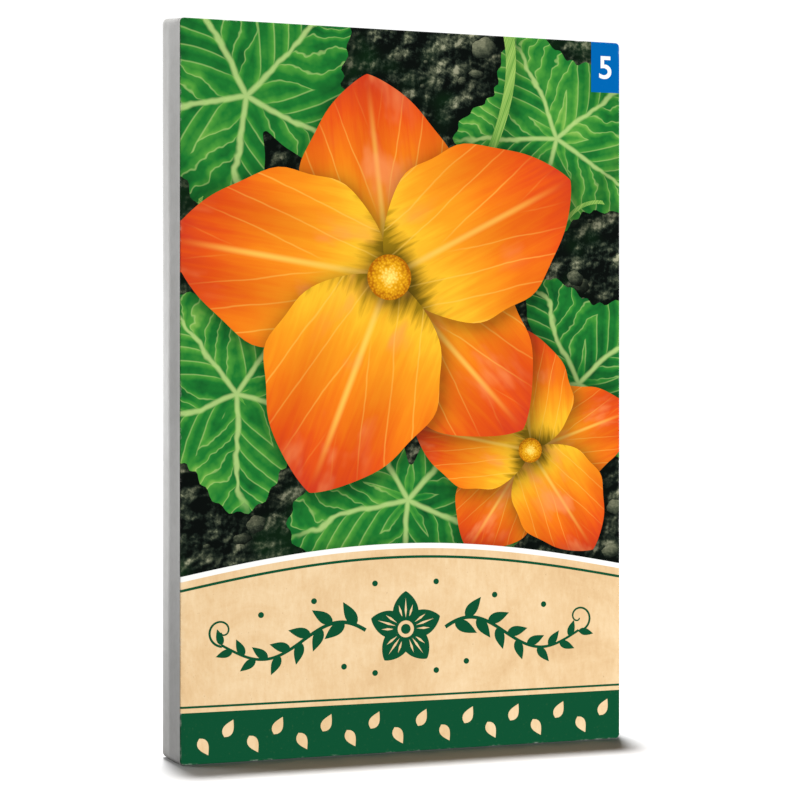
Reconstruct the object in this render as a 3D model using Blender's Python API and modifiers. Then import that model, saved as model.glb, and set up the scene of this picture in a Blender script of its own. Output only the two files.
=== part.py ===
# A paper seed packet, standing upright: one sheet folded and glued into a slim hollow
# pouch, with loose squash seeds inside it. Metres, +Z up, the front faces -Y and the
# origin is the middle of the flat base.

import math

import bmesh
import bpy
from mathutils import Matrix, Vector

# The envelope
FRONT_WIDTH = 0.0950
FRONT_HEIGHT = 0.1484
DEPTH = 0.0102  # over the flaps glued on the back
PAPER = 0.0004
FLAP_PROUD = 0.0003  # how far the flaps stand out of the back panel
SEAM_PROUD = 0.00018
FOLD = 0.0007  # radius of the folds round the front panel
CREASE_PROUD = 0.0012  # how far the side crease stands out past the front panel
BACK_PROUD = 0.0016  # the same for the back panel
TOP_RISE = 0.0010  # how far the back panel rises above the front panel
FRONT_CORNER = 0.0009  # corner radii of the panels, seen from the front
BACK_CORNER = 0.0022
CORNER_STEPS = 5

# The flaps and the seam on the back panel
FLAP_SUNK = 0.0002
TOP_FLAP_HEIGHT = 0.0200
BOTTOM_FLAP_HEIGHT = 0.0120
FLAP_SLANT = 0.0060  # how much narrower a flap is at its free edge, at each end
FLAP_MARGIN = 0.0012  # between a flap's wide end and the packet's side
SEAM_WIDTH = 0.0110
SEAM_OFFSET = 0.0180  # from the middle of the back to the middle of the seam
CORNER_GAP_LENGTH = 0.0024  # small openings left at the folded top corners
CORNER_GAP_WIDTH = 0.0008

# The seeds
SEED_LENGTH = 0.0180
SEED_WIDTH = 0.0105
SEED_THICKNESS = 0.0032
SEED_SEGMENTS = 20
SEED_POINT = 0.55  # how sharply the seed narrows to its tip
SEEDS_IN_LAYER = 4
SEED_PITCH = 0.0212
SEED_SHIFT = 0.0034  # half the sideways offset between the two layers
SEED_TILT = math.radians(17)
CLEARANCE = 0.0003

FRONT_Y = -DEPTH / 2
BACK_Y = DEPTH / 2 - FLAP_PROUD
HALF_FRONT = FRONT_WIDTH / 2
FRONT_BOTTOM = FOLD
FRONT_TOP = FRONT_BOTTOM + FRONT_HEIGHT
BACK_TOP = FRONT_TOP + TOP_RISE

PARTS = "seed_packet"
CUTTERS = "seed_packet_cutters"


def clear_scene():
    for obj in list(bpy.data.objects):
        bpy.data.objects.remove(obj, do_unlink=True)


def make_collection(name):
    collection = bpy.data.collections.new(name)
    bpy.context.scene.collection.children.link(collection)
    return collection


def make_material(name, color, roughness):
    material = bpy.data.materials.new(name)
    material.use_nodes = True
    shader = material.node_tree.nodes["Principled BSDF"]
    shader.inputs["Base Color"].default_value = (*color, 1.0)
    shader.inputs["Roughness"].default_value = roughness
    shader.inputs["Metallic"].default_value = 0.0
    material.diffuse_color = (*color, 1.0)
    return material


def add_object(name, bm, collection, material=None):
    mesh = bpy.data.meshes.new(name)
    bm.to_mesh(mesh)
    bm.free()
    obj = bpy.data.objects.new(name, mesh)
    collection.objects.link(obj)
    if material:
        mesh.materials.append(material)
    return obj


def panel_outline(half_width, bottom, top, radius, y):
    """A rectangle with round corners in the plane of y, anticlockwise from the front."""
    centres = [
        (half_width - radius, bottom + radius, -90),
        (half_width - radius, top - radius, 0),
        (-half_width + radius, top - radius, 90),
        (-half_width + radius, bottom + radius, 180),
    ]
    points = []
    for x, z, start in centres:
        for step in range(CORNER_STEPS):
            angle = math.radians(start + 90 * step / (CORNER_STEPS - 1))
            points.append((x + radius * math.cos(angle), y, z + radius * math.sin(angle)))
    return points


def loft(outlines):
    """A closed solid through outlines of equal length, the first and last filled."""
    bm = bmesh.new()
    rings = [[bm.verts.new(point) for point in outline] for outline in outlines]
    for near, far in zip(rings, rings[1:]):
        for i in range(len(near)):
            j = (i + 1) % len(near)
            bm.faces.new((near[i], far[i], far[j], near[j]))
    bm.faces.new(rings[0])
    bm.faces.new(reversed(rings[-1]))
    bmesh.ops.recalc_face_normals(bm, faces=bm.faces)
    return bm


def envelope_outlines():
    """From the front panel over the folded sides to the back panel. Behind the front
    fold every outline touches z = 0, so that the base is flat."""
    half_fold = FOLD * (1 - math.sqrt(0.5))
    crease_y = (FRONT_Y + BACK_Y) / 2
    softness = 0.0006
    crease = HALF_FRONT + CREASE_PROUD
    back = HALF_FRONT + BACK_PROUD
    crease_top = FRONT_TOP + 0.7 * TOP_RISE
    return [
        panel_outline(HALF_FRONT - FOLD, FRONT_BOTTOM, FRONT_TOP - FOLD, FRONT_CORNER / 2, FRONT_Y),
        panel_outline(
            HALF_FRONT - half_fold, half_fold, FRONT_TOP - half_fold, FRONT_CORNER, FRONT_Y + half_fold
        ),
        panel_outline(HALF_FRONT, 0, FRONT_TOP, FRONT_CORNER, FRONT_Y + FOLD),
        panel_outline(crease - 0.00015, 0, crease_top, BACK_CORNER, crease_y - softness),
        panel_outline(crease, 0, crease_top, BACK_CORNER, crease_y),
        panel_outline(crease, 0, crease_top, BACK_CORNER, crease_y + softness),
        panel_outline(back, 0, BACK_TOP, BACK_CORNER, BACK_Y - FOLD),
        panel_outline(back - half_fold, half_fold, BACK_TOP - half_fold, BACK_CORNER, BACK_Y - half_fold),
        panel_outline(back - FOLD, FOLD, BACK_TOP - FOLD, BACK_CORNER, BACK_Y),
    ]


def add_modifier(obj, kind, **settings):
    modifier = obj.modifiers.new(kind.title(), kind)
    for key, value in settings.items():
        setattr(modifier, key, value)
    return modifier


def add_boolean(obj, operation, other):
    other.hide_render = True
    other.display_type = "WIRE"
    add_modifier(obj, "BOOLEAN", operation=operation, object=other, solver="EXACT")


def tapered_plate(name, half_low, half_high, z_low, z_high, proud, collection):
    """A thin plate on the back panel, as wide as 2 * half_low below and 2 * half_high above."""
    bm = bmesh.new()
    bmesh.ops.create_cube(bm, size=1)
    for vert in bm.verts:
        half = half_high if vert.co.z > 0 else half_low
        vert.co.x = math.copysign(half, vert.co.x)
        vert.co.y = BACK_Y + proud if vert.co.y > 0 else BACK_Y - FLAP_SUNK
        vert.co.z = z_high if vert.co.z > 0 else z_low
    return add_object(name, bm, collection)


def make_flaps(collection):
    wide = HALF_FRONT + BACK_PROUD - FOLD - FLAP_MARGIN
    narrow = wide - FLAP_SLANT
    top_edge = BACK_TOP - FOLD - FLAP_MARGIN / 2
    bottom_edge = FOLD + FLAP_MARGIN / 2
    top_flap = tapered_plate(
        "top_flap", narrow, wide, top_edge - TOP_FLAP_HEIGHT, top_edge, FLAP_PROUD, collection
    )
    bottom_flap = tapered_plate(
        "bottom_flap", wide, narrow, bottom_edge, bottom_edge + BOTTOM_FLAP_HEIGHT, FLAP_PROUD, collection
    )
    seam = tapered_plate(
        "seam",
        SEAM_WIDTH / 2,
        SEAM_WIDTH / 2,
        bottom_edge + FLAP_MARGIN,
        top_edge - FLAP_MARGIN,
        SEAM_PROUD,
        collection,
    )
    seam.data.transform(Matrix.Translation((SEAM_OFFSET, 0, 0)))
    return [seam, top_flap, bottom_flap]


def make_corner_gaps(collection):
    """Cutters for the small openings where the top folds meet the sides."""
    cutters = []
    for side in (-1, 1):
        bm = bmesh.new()
        bmesh.ops.create_cube(bm, size=1)
        size = (CORNER_GAP_LENGTH, CORNER_GAP_WIDTH, 12 * PAPER)
        place = (side * (HALF_FRONT - BACK_CORNER - CORNER_GAP_LENGTH), BACK_Y / 2, BACK_TOP)
        bmesh.ops.scale(bm, vec=size, verts=bm.verts)
        bmesh.ops.translate(bm, vec=place, verts=bm.verts)
        cutters.append(add_object(f"corner_gap_{side}", bm, collection))
    return cutters


def make_envelope(parts, cutters):
    material = make_material("printed_paper", (0.84, 0.83, 0.80), 0.62)
    envelope = add_object("envelope", loft(envelope_outlines()), parts, material)
    add_modifier(envelope, "SOLIDIFY", thickness=PAPER, offset=-1, use_even_offset=True)
    for flap in make_flaps(cutters):
        add_boolean(envelope, "UNION", flap)
    for cutter in make_corner_gaps(cutters):
        add_boolean(envelope, "DIFFERENCE", cutter)
    envelope.data.set_sharp_from_angle(angle=math.radians(25))
    return envelope


def seed_outline(scale, height):
    """The seed's outline shrunk about its middle, with its tip towards +X."""
    points = []
    for step in range(SEED_SEGMENTS):
        angle = 2 * math.pi * step / SEED_SEGMENTS
        across = math.sin(angle) * abs(math.sin(angle / 2)) ** SEED_POINT
        points.append(
            (
                scale * SEED_LENGTH / 2 * math.cos(angle),
                scale * SEED_WIDTH / 2 * across,
                height * SEED_THICKNESS / 2,
            )
        )
    return points


def seed_solid():
    """A flat seed with a raised rim: each pair is a share of its outline and of its height."""
    profile = [(0.28, 1.0), (0.62, 0.93), (0.84, 0.55), (0.93, 0.62), (1.0, 0.34)]
    below = [seed_outline(scale, -height) for scale, height in profile]
    above = [seed_outline(scale, height) for scale, height in reversed(profile)]
    bm = loft(below + above)
    bmesh.ops.triangulate(bm, faces=[face for face in bm.faces if len(face.verts) > 4])
    return bm


def seed_place(layer, index):
    """A seed on edge on the packet's floor, leaning a little, front layer 0 or back layer 1."""
    tilt = SEED_TILT * math.sin(2.4 * index + 1.7 * layer + 0.6)
    half_rise = math.hypot(SEED_LENGTH / 2 * math.sin(tilt), SEED_WIDTH / 2 * math.cos(tilt))
    middle = (SEEDS_IN_LAYER - 1) / 2
    x = SEED_PITCH * (index - middle) + SEED_SHIFT * (1 if layer else -1)
    hollow_middle = (FRONT_Y + BACK_Y) / 2
    step = SEED_THICKNESS / 2 + CLEARANCE
    y = hollow_middle + (step if layer else -step)
    z = PAPER + CLEARANCE + half_rise
    flip = math.pi if (index + layer) % 2 else 0.0
    turn = Matrix.Rotation(tilt + flip, 4, "Y") @ Matrix.Rotation(math.pi / 2, 4, "X")
    return Matrix.Translation(Vector((x, y, z))) @ turn


def make_seeds(parts):
    material = make_material("seed_coat", (0.78, 0.63, 0.42), 0.55)
    first = add_object("seed_1", seed_solid(), parts, material)
    first.data.shade_smooth()
    seeds = [first]
    for number in range(2, 2 * SEEDS_IN_LAYER + 1):
        seed = bpy.data.objects.new(f"seed_{number}", first.data)
        parts.objects.link(seed)
        seeds.append(seed)
    for number, seed in enumerate(seeds):
        seed.matrix_world = seed_place(*divmod(number, SEEDS_IN_LAYER))
    return seeds


clear_scene()
parts_collection = make_collection(PARTS)
cutter_collection = make_collection(CUTTERS)
make_envelope(parts_collection, cutter_collection)
make_seeds(parts_collection)
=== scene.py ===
import math
import random

import bmesh
import bpy
import numpy as np
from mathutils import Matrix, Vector, geometry


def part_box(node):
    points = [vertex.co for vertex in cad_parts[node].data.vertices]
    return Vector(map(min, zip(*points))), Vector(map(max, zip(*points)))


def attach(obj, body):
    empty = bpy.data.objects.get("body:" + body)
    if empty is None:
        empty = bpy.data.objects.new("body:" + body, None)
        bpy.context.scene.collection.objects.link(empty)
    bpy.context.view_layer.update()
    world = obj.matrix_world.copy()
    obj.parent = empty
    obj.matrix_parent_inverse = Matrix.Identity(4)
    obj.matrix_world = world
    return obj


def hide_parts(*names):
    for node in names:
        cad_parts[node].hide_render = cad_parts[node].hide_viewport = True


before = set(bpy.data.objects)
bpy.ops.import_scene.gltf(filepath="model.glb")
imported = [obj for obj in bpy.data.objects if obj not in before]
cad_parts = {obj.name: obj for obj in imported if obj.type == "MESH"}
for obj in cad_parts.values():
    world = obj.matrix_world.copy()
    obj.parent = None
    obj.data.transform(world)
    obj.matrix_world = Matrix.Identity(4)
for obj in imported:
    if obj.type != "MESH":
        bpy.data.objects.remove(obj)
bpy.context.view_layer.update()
millimetre = 0.001


# Camera and studio

shot = {
    "place": (-0.1081, -0.3570, 0.0767),
    "yaw": -16.82,  # degrees, turned to its right
    "lens": 80.12,
    "horizonPixel": 380.6,  # the packet's eye level in the 800 pixel frame
    "framePixels": 800,
}

studio = {
    "worldLevel": 0.08,
    "sunLevel": 2.4,
    "floorSunLevel": 4.5,  # a second sun that lights the floor alone
    "sunSpread": 3.1,  # degrees: how soft the shadow along the base is
    "sunLean": (-4.9, 0.4),  # degrees from straight down: forwards and to the left
    "lamps": {  # place, size and level of each softbox
        "frontKey": ((0.627, -1.285, 0.03), (0.5, 0.06), 24.4),
        "leftRim": ((-0.405, 1.02, 0.05), (0.2, 0.25), 6.0),
        "leftTop": ((-0.22, 0.10, 0.21), (0.08, 0.08), 0.22),
        "leftLow": ((-0.16, 0.17, 0.01), (0.08, 0.08), 0.14),
        "backFill": ((0.35, 1.28, 0.22), (0.6, 0.4), 5.2),
    },
    "noSheen": ("frontKey",),  # lamps whose reflection would turn the dark inks grey
    "target": (0.0, 0.0, 0.075),
    "floorRadius": 6.0,
    "floorDrop": 0.0001,
    "floorWhite": 0.5,  # white under both suns, and dark where the packet shades it
}


def addObject(name, data):
    made = bpy.data.objects.new(name, data)
    bpy.context.scene.collection.objects.link(made)
    return made


def addCamera():
    camera = addObject("camera", bpy.data.cameras.new("camera"))
    camera.location = shot["place"]
    camera.rotation_euler = (math.radians(90), 0, math.radians(shot["yaw"]))
    camera.data.lens = shot["lens"]
    camera.data.shift_y = (shot["horizonPixel"] / shot["framePixels"]) - 0.5
    camera.data.clip_start = 0.01
    bpy.context.scene.camera = camera


def addSoftbox(name, place, size, level):
    lamp = bpy.data.lights.new(name, "AREA")
    lamp.shape = "RECTANGLE"
    lamp.size, lamp.size_y = size
    lamp.energy = level
    box = addObject(name, lamp)
    box.location = place
    aim = Vector(studio["target"]) - Vector(place)
    box.rotation_euler = aim.to_track_quat("-Z", "Y").to_euler()
    box.visible_glossy = name not in studio["noSheen"]


def addSun(name, level):
    lamp = bpy.data.lights.new(name, "SUN")
    lamp.energy = level
    lamp.angle = math.radians(studio["sunSpread"])
    sun = addObject(name, lamp)
    sun.rotation_euler = tuple(math.radians(angle) for angle in studio["sunLean"] + (0,))
    return sun


def addStudio():
    world = bpy.data.worlds.new("studio")
    world.use_nodes = True
    sky = world.node_tree.nodes["Background"].inputs
    sky["Color"].default_value = (1, 1, 1, 1)
    sky["Strength"].default_value = studio["worldLevel"]
    bpy.context.scene.world = world
    for name, (place, size, level) in studio["lamps"].items():
        addSoftbox(name, place, size, level)
    addSun("overhead", studio["sunLevel"])
    floorLit = bpy.data.collections.new("floorLit")
    floorLit.objects.link(addFloor())
    addSun("floorSun", studio["floorSunLevel"]).light_linking.receiver_collection = floorLit
    addBackdrop()
    bpy.context.scene.view_settings.view_transform = "Standard"


def plainStageMaterial(name, emission, white=0.93):
    material = bpy.data.materials.new(name)
    material.use_nodes = True
    values = {"Base Color": (white, white, white, 1), "Roughness": 0.9, "Specular IOR Level": 0.1}
    values.update({"Emission Color": (1, 1, 1, 1), "Emission Strength": emission})
    for name, value in values.items():
        material.node_tree.nodes["Principled BSDF"].inputs[name].default_value = value
    return material


def addFloor():
    bm = bmesh.new()
    bmesh.ops.create_circle(bm, cap_ends=True, segments=96, radius=studio["floorRadius"])
    bmesh.ops.translate(bm, vec=(0, 0, -studio["floorDrop"]), verts=bm.verts)
    floor = meshObject("floor", bm)
    floor.data.materials.append(plainStageMaterial("floorWhite", 0.0, studio["floorWhite"]))
    floor.visible_diffuse = False  # a bright floor would wash out the sides and the print
    floor.visible_glossy = False
    return floor


def addBackdrop():
    # a white surround that only the camera sees, so it adds no light of its own
    bm = bmesh.new()
    bmesh.ops.create_uvsphere(bm, u_segments=48, v_segments=24, radius=studio["floorRadius"])
    bmesh.ops.reverse_faces(bm, faces=bm.faces)
    backdrop = meshObject("backdrop", bm)
    backdrop.data.materials.append(plainStageMaterial("backdropWhite", 1.0))
    for ray in ("diffuse", "glossy", "transmission", "shadow", "volume_scatter"):
        setattr(backdrop, "visible_" + ray, False)


def meshObject(name, bm):
    mesh = bpy.data.meshes.new(name)
    bm.to_mesh(mesh)
    bm.free()
    return addObject(name, mesh)


addCamera()
addStudio()
print("camera and studio in place")


# Node trees: a Wire is one socket's output, and expressions on wires add Math nodes

class Wire:
    def __init__(self, nodes, socket):
        self.nodes = nodes
        self.socket = socket

    def math(self, operation, *terms):
        return self.nodes.node("ShaderNodeMath", {"operation": operation}, dict(enumerate(terms)))

    def __rsub__(self, other):
        return self.math("SUBTRACT", other, self)

    def rise(self, start, end):
        # 0 before start, 1 after end, eased between; start may be the larger
        values = {"Value": self, "From Min": start, "From Max": end, "To Min": 0.0, "To Max": 1.0}
        settings = {"interpolation_type": "SMOOTHSTEP", "clamp": True}
        return self.nodes.node("ShaderNodeMapRange", settings, values)


wireMaths = {
    "__add__": "ADD",
    "__radd__": "ADD",
    "__sub__": "SUBTRACT",
    "__mul__": "MULTIPLY",
    "__rmul__": "MULTIPLY",
    "__truediv__": "DIVIDE",
    "__mod__": "MODULO",
    "__pow__": "POWER",
    "__abs__": "ABSOLUTE",
    "sine": "SINE",
    "cosine": "COSINE",
    "fraction": "FRACT",
    "atMost": "MINIMUM",
    "atLeast": "MAXIMUM",
}


def addWireMaths(name, operation):
    setattr(Wire, name, lambda self, *others: self.math(operation, self, *others))


for name, operation in wireMaths.items():
    addWireMaths(name, operation)


class Nodes:
    # "settings" are a new node's own values, and "values" go to its inputs
    def node(self, kind, settings=None, values=None, out=0):
        made = self.tree.nodes.new(kind)
        for key, value in (settings or {}).items():
            setattr(made, key, value)
        for key, value in (values or {}).items():
            self.feed(made.inputs[key], value)
        return Wire(self, made.outputs[out])

    def feed(self, target, value):
        if isinstance(value, Wire):
            self.tree.links.new(value.socket, target)
        else:
            target.default_value = value


class Finish(Nodes):
    def __init__(self, name):
        self.material = bpy.data.materials.new(name)
        self.material.use_nodes = True
        self.tree = self.material.node_tree
        self.shader = self.tree.nodes["Principled BSDF"]

    def set(self, name, value):
        self.feed(self.shader.inputs[name], value)

    def place(self):
        return self.node("ShaderNodeTexCoord", out=3)

    def axes(self, vector):
        apart = self.node("ShaderNodeSeparateXYZ", None, {0: vector}).socket.node
        return [Wire(self, socket) for socket in apart.outputs]

    def motif(self):
        # along and across the printed shape that this point belongs to
        return self.axes(self.node("ShaderNodeUVMap", {"uv_map": "motif"}))[:2]

    def attribute(self, name):
        return self.node("ShaderNodeAttribute", {"attribute_name": name}, out=2)

    def vector(self, x, y, z):
        return self.node("ShaderNodeCombineXYZ", None, {0: x, 1: y, 2: z})

    def scaled(self, vector, *scale):
        return self.node("ShaderNodeMapping", None, {0: vector, 3: scale})

    def noise(self, where, scale, detail=3.0, roughness=0.5, distortion=0.0):
        values = {"Vector": where, "Scale": scale, "Detail": detail}
        values.update({"Roughness": roughness, "Distortion": distortion})
        return self.node("ShaderNodeTexNoise", None, values)

    def ramp(self, factor, *stops):
        # each stop is its place and its colour as seen on screen
        made = self.node("ShaderNodeValToRGB", None, {0: factor})
        elements = made.socket.node.color_ramp.elements
        while len(elements) < len(stops):
            elements.new(0.5)
        for element, (position, *color) in zip(elements, stops):
            element.position = position
            element.color = tint(*color)
        return made

    def mix(self, low, high, factor):
        return self.node("ShaderNodeMix", {"data_type": "RGBA"}, {0: factor, 6: low, 7: high}, out=2)

    def bump(self, height, strength, distance, under=None, invert=False):
        values = {"Strength": strength, "Distance": distance, "Height": height}
        if under:
            values["Normal"] = under
        return self.node("ShaderNodeBump", {"invert": invert}, values)


def tint(red, green, blue):
    # a colour given in 0 to 255 as seen on screen
    def linear(value):
        value /= 255
        return value / 12.92 if value <= 0.04045 else ((value + 0.055) / 1.055) ** 2.4

    return (linear(red), linear(green), linear(blue), 1.0)


# Paper: the bump and gloss that every face of the packet shares

paper = {  # lengths in metres, colours as seen on screen
    "printedRoughness": 0.46,
    "kraftRoughness": 0.52,
    "printedGloss": 0.14,
    "bareRoughness": 0.62,
    "bareGloss": 0.3,
    "fibre": (2600.0, 0.000012),  # scale and height
    "wave": (55.0, 0.00035),
    "waveStrength": 0.25,
    "halfWidth": 0.0475,
    "height": 0.1491,
    "shade": (8, 14, 10),  # under another motif's edge
    "shadeDepth": 0.78,
    "wear": (232, 229, 221),  # along the packet's edges
    "wearReach": 0.00045,
}

tuck = {  # the folds that run in from the corners of the top and the base, in metres
    "start": 0.0487,  # half of the packet's width at the crease
    "meet": 0.0050,
    "slope": 1.25,
    "wander": 0.0006,
    "line": (0.00030, 0.00004),
    "length": (0.0070, 0.0060),
    "endZone": (0.0730, 0.0738),  # how far the ends lie from the packet's middle
    "middle": 0.0003,
    "groove": (0.9, 0.00022),  # strength and depth
}


def paperFinish(finish, roughness, color, fibreStrength=0.35, groove=None, gloss="printedGloss"):
    where = finish.place()
    (fibreScale, fibreHeight), (waveScale, waveHeight) = paper["fibre"], paper["wave"]
    fibre = finish.noise(where, fibreScale, 4.0, 0.62)
    wave = finish.noise(where, waveScale, 2.0, 0.4)
    bump = finish.bump(wave, paper["waveStrength"], waveHeight)
    bump = finish.bump(fibre, fibreStrength, fibreHeight, bump)
    if groove:
        bump = finish.bump(groove, *tuck["groove"], bump, True)
    finish.set("Normal", bump)
    finish.set("Roughness", paper[roughness] + (fibre - 0.5) * 0.16)
    finish.set("Base Color", color)
    finish.set("Specular IOR Level", paper[gloss])
    return finish.material


def tuckCreaseShadeAndGroove(finish, where):
    # the mask of the tuck creases: it sets their painted shade in the colour and their groove in the
    # bump
    x, y, z = finish.axes(where)
    inwards = tuck["start"] - abs(x)
    wander = (finish.noise(where, 300.0, 2.0) - 0.5) * tuck["wander"]
    diagonal = abs(inwards - (tuck["meet"] - abs(y)) * tuck["slope"] + wander).rise(*tuck["line"])
    reach = inwards.rise(*tuck["length"]) * inwards.rise(-0.0001, 0.0004)
    onEnds = abs(z - paper["height"] / 2 - tuck["middle"]).rise(*tuck["endZone"])
    return diagonal * reach * onEnds


def bareWhite():
    finish = Finish("bareWhitePaper")
    where = finish.place()
    cloud = finish.noise(where, 240.0, 5.0, 0.65)
    pulp = finish.noise(finish.scaled(where, 1.0, 1.0, 0.3), 1700.0, 4.0, 0.7)
    light = cloud * 0.7 + pulp * 0.3
    color = finish.ramp(light, (0.34, 222, 221, 217), (0.52, 232, 231, 228), (0.68, 238, 237, 234))
    lines = tuckCreaseShadeAndGroove(finish, where)
    # painted shade: the tuck creases are mixed towards darker grey where shade would lie in them;
    # the groove bump below is real relief
    color = finish.mix(color, tint(176, 174, 168), lines * 0.75)
    rubbed = finish.noise(where, 95.0, 4.0, 0.6).rise(0.60, 0.80)
    color = finish.mix(color, tint(206, 203, 196), rubbed * 0.35)
    return paperFinish(finish, "bareRoughness", color, 0.6, lines, "bareGloss")


# The printed inks. Each one shades every motif that it fills, in that motif's own
# coordinates, and "tone" darkens what lies under another motif's edge.

def printed(finish, color, roughness="printedRoughness"):
    color = finish.mix(color, tint(*paper["shade"]), finish.attribute("tone") * paper["shadeDepth"])
    return paperFinish(finish, roughness, edgeWear(finish, color))


def edgeWear(finish, color):
    # the print is rubbed through to white paper here and there along the packet's edges
    where = finish.place()
    x, _, z = finish.axes(where)
    gap = (paper["halfWidth"] - abs(x)).atMost(z).atMost(paper["height"] - z)
    rubbed = finish.noise(where, 1300.0, 4.0, 0.7) * 0.6 + finish.noise(where, 150.0, 2.0) * 0.6
    worn = gap.rise(paper["wearReach"], 0.0) * rubbed.rise(0.64, 0.78)
    return finish.mix(color, tint(*paper["wear"]), worn * 0.5)


def groundInk():
    # dark crumbly soil: one relief read at two places gives each crumb a lit side
    finish = Finish("groundInk")
    where = finish.place()

    def relief(spot):
        values = {"Vector": spot, "Scale": 250.0, "Smoothness": 0.5}
        crumbs = finish.node("ShaderNodeTexVoronoi", {"feature": "SMOOTH_F1"}, values)
        return (1.0 - crumbs) * 0.8 + finish.noise(spot, 620.0, 5.0, 0.66) * 0.6

    values = {0: where, 1: (-0.0004, 0.0, 0.0006)}
    towardsLight = finish.node("ShaderNodeVectorMath", {"operation": "ADD"}, values)
    height = relief(where)
    broad = finish.noise(where, 60.0, 3.0, 0.55)
    light = (height - relief(towardsLight)) * 2.1 + (height - 0.75) * 0.4 + broad * 0.86
    color = finish.ramp(
        light,
        (0.30, 9, 13, 11),
        (0.45, 25, 34, 28),
        (0.60, 50, 58, 46),
        (0.78, 98, 104, 82),
        (0.95, 160, 160, 132),
    )
    moss = finish.noise(where, 34.0, 3.0, 0.6)
    color = finish.mix(color, tint(24, 70, 30), moss.rise(0.52, 0.72) * 0.6)
    return printed(finish, color)


def pebbleInk():
    # a clod or stone on the soil, lit from the upper left
    finish = Finish("pebbleInk")
    right, up = finish.motif()
    pick = finish.attribute("pick")
    grain = finish.noise(finish.vector(right * 1.3, up * 1.3, pick * 40.0), 2.4, 5.0, 0.7)
    bulge = (1.0 - (right * right + up * up)).atLeast(0.0) ** 0.5
    light = (up * 0.5 - right * 0.34) * 0.55 + bulge * 0.30 + (grain - 0.5) * 0.75
    light = light + pick * 0.22 + 0.05
    color = finish.ramp(
        light,
        (0.05, 12, 16, 13),
        (0.30, 38, 45, 36),
        (0.50, 78, 84, 66),
        (0.72, 128, 130, 104),
        (0.92, 176, 174, 148),
    )
    return printed(finish, color)


def petalInk():
    finish = Finish("petalInk")
    along, across = finish.motif()
    pick = finish.attribute("pick")
    grain = finish.vector(along * 2.4, across * 13.0, pick * 7.0)
    streak = finish.noise(grain, 1.0, 5.0, 0.6, 0.4)
    cloud = finish.noise(finish.vector(along * 3.0, across * 2.2, pick * 5.0), 1.0, 3.0, 0.5)
    depth = along + (streak - 0.5) * 0.30 + (cloud - 0.5) * 0.34
    color = finish.ramp(
        depth,
        (0.05, 150, 118, 20),
        (0.17, 250, 190, 44),
        (0.34, 247, 158, 32),
        (0.58, 240, 124, 24),
        (0.80, 228, 86, 24),
        (1.00, 204, 58, 32),
    )
    wide = abs(across)
    rib = wide.rise(0.055, 0.0) * along.rise(1.0, 0.55)
    sideVein = ((wide * 3.4 - along * 2.3) + (cloud - 0.5) * 0.35).fraction()
    vein = abs(sideVein - 0.5).rise(0.05, 0.0) * wide.rise(0.03, 0.16) * along.rise(0.98, 0.6)
    color = finish.mix(color, tint(255, 206, 92), (rib * 0.75).atLeast(vein * 0.42))
    fold = (across * 7.5 + along * 1.6 + pick * 6.0).sine() * 0.5 + 0.5
    color = finish.mix(color, tint(196, 62, 14), fold * along.rise(0.15, 0.6) * 0.30)
    glow = cloud.rise(0.52, 0.72) * wide.rise(0.7, 0.2)
    color = finish.mix(color, tint(250, 158, 96), glow * 0.5)
    return printed(finish, color)


def leafInk():
    finish = Finish("leafInk")
    along, across = finish.motif()
    pick = finish.attribute("pick")
    reach = (along * along + across * across) ** 0.5
    angle = finish.node("ShaderNodeMath", {"operation": "ARCTAN2"}, {0: across, 1: along})
    warp = finish.noise(finish.vector(along * 1.7, across * 1.7, pick * 5.0), 1.5, 3.0, 0.55)
    angle = angle + (warp - 0.5) * 0.42
    lobe = (angle / math.radians(72) + 100.5).fraction() - 0.5
    lean = lobe * math.radians(72)
    outward = reach * lean.cosine()
    sideways = abs(reach * lean.sine())
    mainVein = sideways.rise(0.030, 0.006) * reach.rise(1.05, 0.7)
    sideTurn = (outward * 7.0 - (sideways ** 0.78) * 5.4 + warp * 1.5 + pick * 3.0).fraction()
    offVein = abs(sideTurn - 0.5)
    sideVein = offVein.rise(0.075, 0.015) * sideways.rise(0.0, 0.05) * reach.rise(0.10, 0.26)
    cloud = finish.noise(finish.vector(along * 2.0, across * 2.0, pick * 9.0), 1.3, 4.0, 0.6)
    light = cloud * 0.72 + (1.0 - offVein * 2.0) * 0.12 + ((sideTurn + 0.5).fraction() - 0.5) * 0.16
    light = light + pick * 0.16 + 0.02
    color = finish.ramp(
        light,
        (0.30, 14, 74, 34),
        (0.48, 30, 118, 46),
        (0.64, 72, 150, 56),
        (0.82, 134, 184, 82),
    )
    color = finish.mix(color, tint(186, 214, 132), mainVein.atLeast(sideVein * 0.5) * 0.75)
    return printed(finish, color)


def stalkInk():
    finish = Finish("stalkInk")
    along, across = finish.motif()
    streak = finish.noise(finish.vector(along * 3.0, across * 9.0, 0.0), 1.0, 4.0)
    color = finish.ramp(streak, (0.3, 70, 138, 48), (0.7, 168, 202, 104))
    return printed(finish, color)


def pollenInk():
    finish = Finish("pollenInk")
    along, across = finish.motif()
    reach = (along * along + across * across) ** 0.5
    values = {"Vector": finish.vector(along, across, 0.0), "Scale": 9.0}
    cells = finish.node("ShaderNodeTexVoronoi", None, values)
    light = 1.0 - reach * 0.75 - cells * 0.45
    color = finish.ramp(light, (0.0, 170, 96, 10), (0.4, 236, 170, 24), (0.8, 255, 232, 120))
    return printed(finish, color)


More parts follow.
